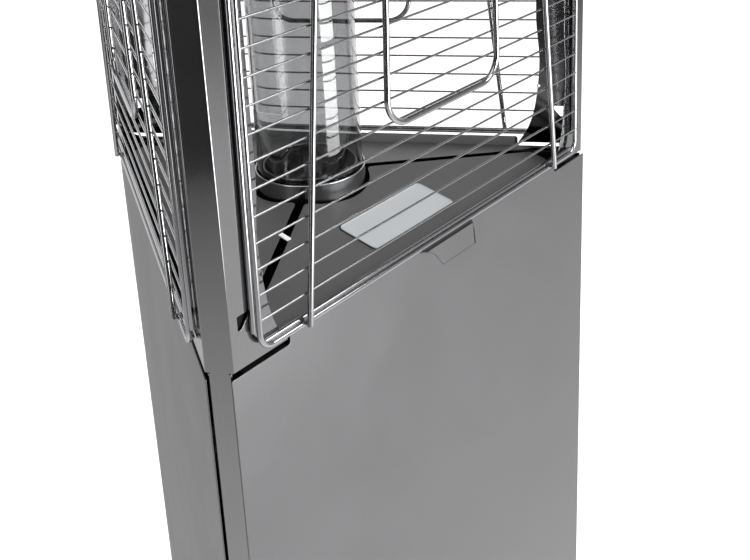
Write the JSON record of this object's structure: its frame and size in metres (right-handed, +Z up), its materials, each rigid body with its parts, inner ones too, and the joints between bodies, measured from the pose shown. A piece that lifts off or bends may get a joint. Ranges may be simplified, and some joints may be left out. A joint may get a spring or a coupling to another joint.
{
  "type": "patio heater",
  "caption": "Three-sided tower gas patio heater with a glass flame tube behind wire grilles over a bottle cabinet.",
  "frame": {"origin": "on the floor under the axis of the flame tube", "axes": "+Z up along the flame tube, -Y out through the door, +X to the right when the door is seen from outside"},
  "size_m": [0.604, 0.5304, 2.1691],
  "materials": {
    "satin_steel": "satin brushed",
    "dark_steel": "satin brushed, dark",
    "zinc_steel": "zinc plated",
    "bright_chrome": "polished",
    "black_seal": "matt",
    "clear_glass": "clear",
    "blank_silver": "satin anodised",
    "brass_fitting": "machined",
    "cast_valve": "die cast",
    "copper_pipe": "drawn copper",
    "black_knob": "fine grained",
    "red_button": "gloss",
    "white_ceramic": "fired ceramic look",
    "black_magnet": "moulded"
  },
  "bodies": {
    "tower": {"post_a": "satin_steel", "post_b": "satin_steel", "post_c": "satin_steel", "left_panel": "satin_steel", "right_panel": "satin_steel", "base_plate": "satin_steel", "header": "satin_steel", "header_walls": "satin_steel", "top_cap": "satin_steel", "deck_front": "dark_steel", "deck_left": "dark_steel", "deck_right": "dark_steel", "deck_frame": "dark_steel", "burner_pan": "dark_steel", "control_plate": "dark_steel", "base_brackets": "zinc_steel", "panel_blocks": "zinc_steel", "hinge_leaves": "zinc_steel", "heat_deflector": "zinc_steel", "cap_pillars": "zinc_steel", "top_ring": "zinc_steel", "mixer_tube": "zinc_steel", "collar_ring": "bright_chrome", "burner_cup": "bright_chrome", "burner_bowl": "bright_chrome", "bowl_floor": "bright_chrome", "slot_clip": "bright_chrome", "cap_screws": "bright_chrome", "glass_seal": "black_seal", "top_seal": "black_seal", "glass_tube": "clear_glass", "blank_plate": "blank_silver", "gas_jet": "brass_fitting", "gas_inlet": "brass_fitting", "burner_head": "brass_fitting", "gas_valve": "cast_valve", "flame_sensor": "cast_valve", "gas_pipe": "copper_pipe", "igniter_body": "black_knob", "spark_electrode": "white_ceramic", "door_magnets": "black_magnet"},
    "door": {"front_door": "satin_steel", "door_knuckles": "satin_steel"},
    "grille_front": {"grille_front": "bright_chrome"},
    "grille_left": {"grille_left": "bright_chrome"},
    "grille_right": {"grille_right": "bright_chrome"},
    "spindle": {"valve_spindle": "zinc_steel"},
    "knob": {"control_knob": "black_knob"},
    "button": {"igniter_button": "red_button"}
  },
  "joints": [
    {"name": "door_tilt", "type": "hinge", "parent": "tower", "child": "door", "pos_m": [0, -0.1775, 0.035], "axis": [1, 0, 0], "range_deg": [0, 90]},
    {"name": "grille_front_lift", "type": "slide", "parent": "tower", "child": "grille_front", "axis": [0, 0, 1], "range_m": [0, 0.012]},
    {"name": "grille_left_lift", "type": "slide", "parent": "tower", "child": "grille_left", "axis": [0, 0, 1], "range_m": [0, 0.012]},
    {"name": "grille_right_lift", "type": "slide", "parent": "tower", "child": "grille_right", "axis": [0, 0, 1], "range_m": [0, 0.012]},
    {"name": "spindle_push", "type": "slide", "parent": "tower", "child": "spindle", "axis": [0, 1, 0], "range_m": [0, 0.003], "stiffness_N_per_m": 600},
    {"name": "knob_turn", "type": "hinge", "parent": "spindle", "child": "knob", "pos_m": [0.045, -0.145, 0.69], "axis": [0, 1, 0], "range_deg": [0, 210]},
    {"name": "button_push", "type": "slide", "parent": "tower", "child": "button", "axis": [0, 1, 0], "range_m": [0, 0.005], "stiffness_N_per_m": 600}
  ]
}
